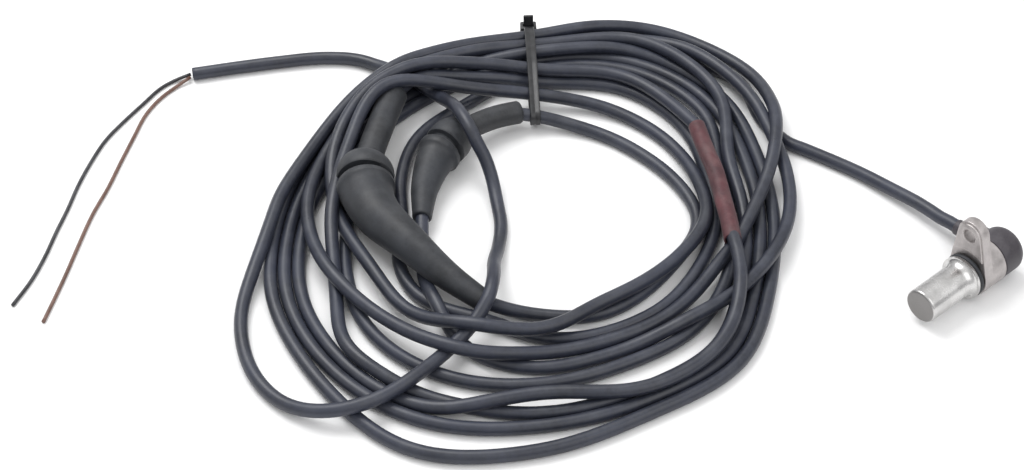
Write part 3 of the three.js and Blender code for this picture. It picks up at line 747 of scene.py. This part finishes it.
materials = {
    "jacket": jacketMaterial(),
    "rubber": polymer("moulded_rubber", rubberLook)[0],
    "elbow": polymer("moulded_elbow", elbowLook)[0],
    "sleeve": polymer("marking_sleeve", sleeveLook)[0],
    "nylon": polymer("tie_nylon", nylonLook)[0],
    "blackWire": polymer("wire_black", blackWireLook)[0],
    "brownWire": polymer("wire_brown", brownWireLook)[0],
    "bobbin": polymer("bobbin_plastic", bobbinLook)[0],
    "cast": metal("cast_bracket", castLook)[0],
    "steel": turnedSteel(),
    "iron": metal("pole_iron", ironLook)[0],
    "brass": metal("contact_brass", brassLook)[0],
    "copper": metal("winding_copper", copperLook)[0],
    "magnet": metal("magnet_coat", magnetLook)[0],
}
print("materials built")


# Gives a piece its material and body, and hides the CAD nodes that it stands for
def dress(piece, material, slot, *nodes):
    piece.data.materials.clear()
    piece.data.materials.append(materials[material])
    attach(piece, "root")
    if nodes:
        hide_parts(*nodes)
    return piece


# Head pieces in the head's own frame, in mm: X across, Y along the axis from the tip, Z up
head = {
    "barrel": 16, "barrelLength": 22.5, "tipEdge": 1.2, "tipWall": 0.9, "bore": 13.6, "flare": 4, "lip": 20.8,
    "lipEnd": 28, "spigot": 15.6, "spigotEnd": 48, "broken": 0.3, "sides": 128,
}
ring = {"section": 2.4, "radius": 9.3, "at": 29.5}
bracket = {
    "hub": 21.8, "front": 31, "back": 36, "hubBack": 45, "edge": 0.6, "ear": 14, "boltDistance": 22.1,
    "boltHole": 6.4, "padHeight": 0.8, "padInset": 0.9, "padFromAxis": 13.8, "fillet": 1.6, "chamfer": 0.35,
    "sides": 112,
}
elbow = {
    "diameter": 21.4, "front": 45.3, "back": 59.3, "wall": 2.6, "edge": 5, "bore": 16.2, "outletAt": 52,
    "outlet": 12, "reach": 24, "nose": 7.6, "noseLength": 5.5, "root": 6.7, "outletEdge": 1.2,
    "voxel": 0.25, "softening": 12, "sides": 96, "outletSides": 64,
}


# Welds a mesh, turns its faces outward and keeps the edges sharper than an angle
def tidyMesh(piece, sharp=32):
    shape = bmesh.new()
    shape.from_mesh(piece.data)
    bmesh.ops.remove_doubles(shape, verts=shape.verts, dist=2e-6)
    bmesh.ops.dissolve_degenerate(shape, edges=shape.edges, dist=1e-6)
    bmesh.ops.recalc_face_normals(shape, faces=shape.faces)
    for face in shape.faces:
        face.smooth = True
    for edge in shape.edges:
        edge.smooth = len(edge.link_faces) == 2 and edge.calc_face_angle() < math.radians(sharp)
    shape.to_mesh(piece.data)
    shape.free()
    return piece


# A profile of (radius, distance along Y) revolved about the head's axis
def turnedMesh(name, profile, sides, closed=False):
    angles = 2 * np.pi * np.arange(sides) / sides
    vertices = [(r * math.cos(a) * mm, y * mm, r * math.sin(a) * mm) for r, y in profile for a in angles]
    faces = gridFaces(len(profile), sides, closed)
    return tidyMesh(meshObject(name, vertices, faces, headMatrix))


# The bracket's outline: the hub's round below, flanks drawn in to the ear's round end
def earOutline(inset, steps=28):
    hub = bracket["hub"] / 2 - inset
    ear = bracket["ear"] / 2 - inset
    lean = math.asin((hub - ear) / bracket["boltDistance"])
    lower = np.linspace(math.pi - lean, 2 * math.pi + lean, 2 * steps)
    upper = np.linspace(lean, math.pi - lean, steps)
    outline = [(hub * math.cos(a), hub * math.sin(a)) for a in lower]
    return outline + [(ear * math.cos(a), bracket["boltDistance"] + ear * math.sin(a)) for a in upper]


# The ear's outline stacked along Y: (inset, distance) for each layer, closed at both ends
def stackedMesh(name, layers):
    vertices = [(x * mm, y * mm, z * mm) for inset, y in layers for x, z in earOutline(inset)]
    faces = cappedFaces(len(layers), len(earOutline(0)))
    return tidyMesh(meshObject(name, vertices, faces, headMatrix))


# The piece with its modifiers made real
def evaluated(piece):
    bpy.context.view_layer.update()
    made = bpy.data.meshes.new_from_object(piece.evaluated_get(bpy.context.evaluated_depsgraph_get()))
    piece.modifiers.clear()
    piece.data = made
    return piece


def combine(piece, operation, *others):
    for other in others:
        cut = piece.modifiers.new("combine", "BOOLEAN")
        cut.operation = operation
        cut.solver = "MANIFOLD"
        cut.object = other
        evaluated(piece)
        bpy.data.objects.remove(other)
    return piece


# The piece's own frame made the row frame, so that its box is its true one
def settled(piece):
    piece.data.transform(piece.matrix_world)
    piece.matrix_world = Matrix()
    return piece


def makeHousing():
    outer, lip, spigot, bore = (head[k] / 2 for k in ("barrel", "lip", "spigot", "bore"))
    edge, lipEnd, spigotEnd = head["tipEdge"], head["lipEnd"], head["spigotEnd"]
    wall, broken = head["tipWall"], head["broken"]
    profile = [(0, 0)] + arcPoints(outer - edge, edge, edge, edge, -90, 0, 8)
    profile += arcPoints(lip, head["barrelLength"], lip - outer, head["flare"], 180, 90, 14)
    profile += [(lip, lipEnd - broken), (lip - 0.1, lipEnd - 0.1), (lip - broken, lipEnd)]
    profile += [(spigot + broken, lipEnd), (spigot, lipEnd + broken)]
    profile += [(spigot, spigotEnd - broken), (spigot - broken, spigotEnd)]
    profile += [(bore + 0.2, spigotEnd), (bore, spigotEnd - 0.2)]
    profile += [(bore, wall + broken), (bore - broken, wall), (0, wall)]
    housing = settled(turnedMesh("fine_housing", profile, head["sides"]))
    return dress(housing, "steel", "housing_steel", "sensor_housing")


def makeRing():
    r = ring["section"] / 2
    profile = arcPoints(ring["radius"], ring["at"], r, r, 0, 345, 23)
    return dress(settled(turnedMesh("fine_ring", profile, 96, True)), "rubber", "seal_rubber", "sealing_ring")


def makeBracket():
    edge, front, back, hubBack, sides = (bracket[k] for k in ("edge", "front", "back", "hubBack", "sides"))
    hub = bracket["hub"] / 2
    bore = elbow["bore"] / 2
    pad = bracket["padHeight"]
    edges = arcPoints(edge, edge, edge, edge, 270, 180, 4)
    layers = [(inset, front + y) for inset, y in edges] + [(inset, back - y) for inset, y in edges[::-1]]
    cast = stackedMesh("fine_bracket", layers)
    hubEnd = arcPoints(hub - edge, hubBack - edge, edge, edge, 0, 90, 4)
    hubPiece = turnedMesh("hub", [(0, back - 1), (hub, back - 1)] + hubEnd + [(0, hubBack)], sides)
    fillet = bracket["fillet"]
    flare = arcPoints(hub + fillet, back + fillet, fillet, fillet, 270, 180, 6)
    collar = turnedMesh("collar", [(0, back - 1), (hub + fillet, back - 1)] + flare + [(0, back + fillet)], sides)
    combine(collar, "INTERSECT", stackedMesh("collar_room", [(edge, back - 2), (edge, back + 3)]))
    inset = bracket["padInset"]
    padLayers = [(inset + 0.3, front - pad), (inset + 0.09, front - pad + 0.09), (inset, front - pad + 0.3)]
    padPiece = stackedMesh("pad", padLayers + [(inset, front + edge)])
    r = bracket["padFromAxis"]
    combine(padPiece, "DIFFERENCE", turnedMesh("pad_cut", [(0, 20), (r, 20), (r, 40), (0, 40)], sides))
    combine(cast, "UNION", hubPiece, collar, padPiece)
    chamfer = bracket["chamfer"]
    boreProfile = [(0, front - 2), (bore + chamfer + 2, front - 2), (bore, front + chamfer)]
    boreProfile += [(bore, hubBack - chamfer), (bore + chamfer + 2, hubBack + 2)]
    hole = bracket["boltHole"] / 2
    lip = front - pad
    holeProfile = [(0, lip - 2), (hole + chamfer + 2, lip - 2), (hole, lip + chamfer), (hole, back - chamfer)]
    holeProfile += [(hole + chamfer + 2, back + 2), (0, back + 2)]
    boltHole = turnedMesh("bolt_hole", holeProfile, 64)
    boltHole.data.transform(Matrix.Translation((0, 0, bracket["boltDistance"] * mm)))
    combine(cast, "DIFFERENCE", turnedMesh("bore", boreProfile + [(0, hubBack + 2)], sides), boltHole)
    return dress(settled(tidyMesh(cast)), "cast", "bracket_metal", "mounting_bracket")


def makeElbow():
    radius, bore, nose = (elbow[k] / 2 for k in ("diameter", "bore", "nose"))
    edge, front, back, wall, root, reach = (elbow[k] for k in ("edge", "front", "back", "wall", "root", "reach"))
    cup = [(0, front), (radius, front)] + arcPoints(radius - edge, back - edge, edge, edge, 0, 90, 12) + [(0, back)]
    body = turnedMesh("fine_elbow", cup, elbow["sides"])
    shoulder, soften = reach - elbow["noseLength"], elbow["outletEdge"]
    spout = [(0, 0), (root, 0), (root, radius)]
    spout += arcPoints(elbow["outlet"] / 2 - soften, shoulder - soften, soften, soften, 0, 90, 6)
    spout += [(nose + 0.2, shoulder), (nose, shoulder + 0.6), (nose - 0.1, reach), (0, reach)]
    side = Matrix.Translation((0, elbow["outletAt"] * mm, 0)) @ Matrix.Rotation(math.radians(90), 4, "Z")
    outlet = turnedMesh("outlet", spout, elbow["outletSides"])
    outlet.data.transform(side)
    combine(body, "UNION", outlet)
    skin = body.modifiers.new("skin", "REMESH")
    skin.mode = "VOXEL"
    skin.voxel_size = elbow["voxel"] * mm
    soft = body.modifiers.new("soft", "SMOOTH")
    soft.factor = 0.5
    soft.iterations = elbow["softening"]
    evaluated(body)
    inside = edge - wall / 2
    hollow = [(0, front - 1), (bore, front - 1)]
    hollow += arcPoints(bore - inside, back - wall - inside, inside, inside, 0, 90, 8) + [(0, back - wall)]
    channel = [(0, 0.3), (cableBore, 0.3), (cableBore, reach + 1), (0, reach + 1)]
    bored = turnedMesh("cable_bore", channel, elbow["outletSides"])
    bored.data.transform(side)
    combine(body, "DIFFERENCE", turnedMesh("hollow", hollow, elbow["sides"]), bored)
    return dress(settled(tidyMesh(body, 50)), "elbow", "elbow_plastic", "elbow_cap")


def makeGrommet(name, route, size, node):
    line = smoothLine(toRow(route), mm)[0]
    stations = [(s * mm, r * mm) for s, r in grommetStations(size, lineLength(line) / mm)]

    def hollows(angle, distance):
        return 1 + grommet["wave"] * math.sin(grommet["waves"] * distance + 2 * angle)

    piece = tidyMesh(hollowMesh(name, line, stations, grommet["sides"], hollows), 40)
    return dress(piece, "rubber", "grommet_rubber", node)


def makeSleeve():
    line = smoothLine(toRow(sleeveRoute), mm)[0]
    length = lineLength(line) / mm
    r, edge = sleeve["radius"], sleeve["edge"]
    stations = [(0, r - edge), (0.2, r - 0.1)] + [(s, r) for s in np.arange(1, length - 1, 1.4)]
    stations += [(length - 0.2, r - 0.1), (length, r - edge)]

    def creases(angle, distance):
        rings = sleeve["rings"] * math.sin(sleeve["ringWaves"] * distance + math.sin(2 * angle))
        folds = sleeve["folds"] * math.cos(3 * angle + sleeve["foldTwist"] * distance)
        return sleeve["inset"] + rings * math.cos(angle - sleeve["twist"] * distance) + folds

    stations = [(s * mm, r * mm) for s, r in stations]
    piece = tidyMesh(hollowMesh("fine_sleeve", line, stations, sleeve["sides"], creases), 50)
    return dress(piece, "sleeve", "sleeve_plastic", "marking_sleeve")


# Cable tie: its band hugs the strands where they pass its bearing
tie = {
    "bearing": 92.5, "width": 4.8, "thickness": 1.2, "edge": 0.3, "headLength": 7.5, "headWidth": 8,
    "headHeight": 5.5, "tail": 7, "slack": 0.1, "groove": 0.15, "room": 0.35, "pawl": 1.6, "teeth": 7,
    "pitch": 0.8,
}


# Where the cable crosses the upright plane at a bearing: (reach, height) in mm
def strandsAt(line, bearing):
    flat = (line[:, :2] - coilOrigin) @ spin(coilTurn) / mm - coilCentre
    e = np.array([math.cos(bearing), math.sin(bearing)])
    side = flat @ np.array([-e[1], e[0]])
    reach = flat @ e
    places = np.nonzero((side[1:] * side[:-1] <= 0) & (reach[1:] > 20))[0]
    found = []
    for k in places:
        t = side[k] / (side[k] - side[k + 1]) if side[k] != side[k + 1] else 0
        found.append((reach[k] * (1 - t) + reach[k + 1] * t, (line[k, 2] * (1 - t) + line[k + 1, 2] * t) / mm))
    return np.array(found)


def convexHull(points):
    points = sorted(map(tuple, points))

    def half(ordered):
        chain = []
        for p in ordered:
            while len(chain) > 1 and (
                (chain[-1][0] - chain[-2][0]) * (p[1] - chain[-2][1])
                - (chain[-1][1] - chain[-2][1]) * (p[0] - chain[-2][0]) <= 0
            ):
                chain.pop()
            chain.append(p)
        return chain[:-1]

    return np.array(half(points) + half(points[::-1]))


def makeTie(line):
    bearing = math.radians(tie["bearing"])
    grow = cableRadius + tie["slack"] + tie["thickness"] / 2
    turn = np.linspace(0, 2 * np.pi, 48, endpoint=False)
    rim = np.column_stack([np.cos(turn), np.sin(turn)]) * grow
    hull = convexHull(np.vstack([rim + strand for strand in strandsAt(line, bearing)]))
    loop = smoothLine(np.vstack([hull, hull[:1]]), 1.2)[0][:-1]
    loop[:, 1] = np.maximum(loop[:, 1], tie["thickness"] / 2 + 0.05)
    count = len(loop)
    ahead = np.roll(loop, -1, axis=0) - np.roll(loop, 1, axis=0)
    ahead /= np.linalg.norm(ahead, axis=1)[:, None]
    out = np.column_stack([ahead[:, 1], -ahead[:, 0]])
    w, t, b = tie["width"] / 2, tie["thickness"] / 2, tie["edge"]
    dent = t - tie["groove"]
    outline = [(-w + b, -t), (w - b, -t), (w, -t + b), (w, t - b), (w - b, t), (0.6, t), (0.4, dent),
               (-0.4, dent), (-0.6, t), (-w + b, t), (-w, t - b), (-w, -t + b)]
    e = np.array([math.cos(bearing), math.sin(bearing), 0])
    across = np.array([-e[1], e[0], 0])
    places = []
    for k in range(count):
        for side, lift in outline:
            reach, height = loop[k] + out[k] * lift
            places.append(reach * e + side * across + np.array([coilCentre[0], coilCentre[1], height]))
    band = meshObject("fine_tie", toRow(places), gridFaces(count, len(outline), True))
    tidyMesh(band, 40)
    clasp = tieClasp(loop[:, 0].max() + tie["thickness"] / 2, loop[np.argmax(loop[:, 0]), 1] + 5, bearing)
    return dress(joined(band, clasp), "nylon", "tie_nylon", "cable_tie")


# A box between two corners in mm, its edges rounded
def softBox(name, low, high, edge):
    shape = bmesh.new()
    bmesh.ops.create_cube(shape, size=1)
    low, high = np.array(low), np.array(high)
    for vertex in shape.verts:
        vertex.co = Vector((low + (np.array(vertex.co) + 0.5) * (high - low)) * mm)
    bmesh.ops.bevel(shape, geom=shape.edges[:], offset=edge * mm, segments=3, profile=0.5, affect="EDGES")
    data = bpy.data.meshes.new(name)
    shape.to_mesh(data)
    shape.free()
    return addObject(name, data)


# The tie's head on the outside of the bundle: a slotted block with a notch, and the strap's short tail with its
# teeth
def tieClasp(reach, top, bearing):
    half, length, height = tie["headWidth"] / 2, tie["headLength"], tie["headHeight"]
    w, t, room, pawl = tie["width"] / 2, tie["thickness"] / 2, tie["room"], tie["pawl"]
    middle = reach + height / 2 - 0.2
    foot = top - length
    block = softBox("clasp", (reach - 0.3, -half, foot), (reach + height, half, top), 0.7)
    slot = softBox("slot", (middle - t - room, -w - room, foot - 1), (middle + t + room, w + room, top + 1), 0.1)
    notch = softBox("pawl", (middle + t + 0.2, -pawl, top - pawl), (reach + height + 1, pawl, top + 1), 0.3)
    combine(block, "DIFFERENCE", slot, notch)
    tail = softBox("tail", (middle - t, -w, foot - 0.6), (middle + t, w, top + tie["tail"] - 1), 0.3)
    pieces = [block, tail]
    for k in range(tie["teeth"]):
        at = top + 0.4 + tie["pitch"] * k
        pieces.append(softBox("tooth", (middle - t - 0.18, -w + 0.9, at), (middle, w - 0.9, at + 0.4), 0.08))
    clasp = joined(*pieces)
    for move in (
        Matrix.Rotation(bearing, 4, "Z"), Matrix.Translation((coilCentre[0] * mm, coilCentre[1] * mm, 0)),
        Matrix.Rotation(coilTurn, 4, "Z"), Matrix.Translation((coilOrigin[0], coilOrigin[1], 0)),
    ):
        clasp.data.transform(move)
    return tidyMesh(clasp, 40)


# One object of several, each of them left whole
def joined(first, *others):
    shape = bmesh.new()
    for piece in (first, *others):
        shape.from_mesh(piece.data)
    shape.to_mesh(first.data)
    shape.free()
    for piece in others:
        bpy.data.objects.remove(piece)
    return first


# CAD nodes that only take a material
nodeLooks = {
    "bobbin": ("coil_bobbin", "contact_carrier"),
    "copper": ("winding",),
    "magnet": ("magnet",),
    "iron": ("pole_pin",),
    "brass": ("terminal_1", "terminal_2", "crimp_1", "crimp_2"),
    "blackWire": ("core_1",),
    "brownWire": ("core_2",),
}
for material, names in nodeLooks.items():
    for name in names:
        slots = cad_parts[name].data.materials
        slots.clear()
        slots.append(materials[material])


def makeCable():
    line = cableLine()
    length = lineLength(line)
    radius = cableRadius * mm
    stations = [(s, radius) for s in distancesAlong(line)[:-1]]
    stations += [(length - back * mm, radius - inward * mm) for back, inward in cutEnd]
    piece = strungMesh("main_cable", line, stations, cable["sides"])
    cadParts = [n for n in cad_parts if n.startswith("cable_") and n != "cable_tie"]
    dress(piece, "jacket", "cable_jacket", *cadParts)
    return piece, line, length


def makeWire(name, route, material, node):
    line = smoothLine(toRow(route), cable["step"] * mm)[0]
    length = lineLength(line)
    diameter = wire["diameter"] * mm
    stations = [(s, diameter / 2) for s in np.linspace(0, length, len(line))]
    piece = strungMesh(name, line, stations, wire["sides"])
    dress(piece, material, node, node)


cablePiece, cablePath, cableLength = makeCable()
print("cable settled:", round(cableLength, 3), "m")
makeHousing()
makeRing()
makeBracket()
makeElbow()
print("head built")
ends = [
    makeGrommet("fine_grommet_1", largeGrommetRoute, largeGrommet, "grommet_1"),
    makeGrommet("fine_grommet_2", smallGrommetRoute, smallGrommet, "grommet_2"),
    makeSleeve(),
    makeTie(cablePath),
]
print("grommets, sleeve and tie built")
makeWire("wire_1", blackRoute, "blackWire", "wire_black")
makeWire("wire_2", brownRoute, "brownWire", "wire_brown")


# Floor, sky and lamps
stage = {
    "floor": 6.0, "fibre": 90, "paperDark": (0.90, 0.90, 0.90, 1), "paperLight": (0.93, 0.93, 0.93, 1),
    "rough": 0.9, "specular": 0.1, "sky": 1.0, "skyLow": (0.42, 0.42, 0.43, 1), "white": (1, 1, 1, 1),
}
lamps = {
    "lamp_key": {"at": (-0.5, 0.6, 1.3), "size": 0.9, "watts": 14},
    "lamp_fill": {"at": (0.9, -0.7, 1.1), "size": 1.2, "watts": 5},
}


def makeFloor():
    half = stage["floor"] / 2
    floor = meshObject("floor", [(-half, -half, 0), (half, -half, 0), (half, half, 0), (-half, half, 0)],
                       [(0, 1, 2, 3)], smooth=False)
    material, graph, shader = newMaterial("floor_paper")
    where = graph.place()
    fibre = graph.noise(where, stage["fibre"], 4)
    shade = graph.mix(graph.spread(fibre, 0.3, 0.7), stage["paperDark"], stage["paperLight"])
    graph.link(shade, shader, "Base Color")
    graph.set(shader, "Roughness", stage["rough"])
    graph.set(shader, "Specular IOR Level", stage["specular"])
    floor.data.materials.append(material)


def makeSky():
    world = bpy.data.worlds.new("studio")
    bpy.context.scene.world = world
    world.use_nodes = True
    graph = Graph(world.node_tree)
    graph.tree.nodes.clear()
    seen = graph.add("ShaderNodeLightPath").outputs["Is Camera Ray"]
    direction = graph.add("ShaderNodeTexCoord").outputs["Generated"]
    up = graph.add("ShaderNodeSeparateXYZ", in_Vector=direction).outputs["Z"]
    height = graph.spread(up, -0.1, 0.9)
    dome = graph.mix(height, stage["skyLow"], stage["white"])
    light = graph.add("ShaderNodeBackground", in_Strength=stage["sky"])
    graph.link(graph.mix(seen, dome, stage["white"]), light, "Color")
    output = graph.add("ShaderNodeOutputWorld")
    graph.link(light.outputs[0], output, "Surface")


def makeLamp(name, lamp):
    data = bpy.data.lights.new(name, "AREA")
    data.shape = "SQUARE"
    data.size = lamp["size"]
    data.energy = lamp["watts"]
    aimAtCoil(addObject(name, data), *lamp["at"])


makeFloor()
makeSky()
for name, lamp in lamps.items():
    makeLamp(name, lamp)
print("stage made")
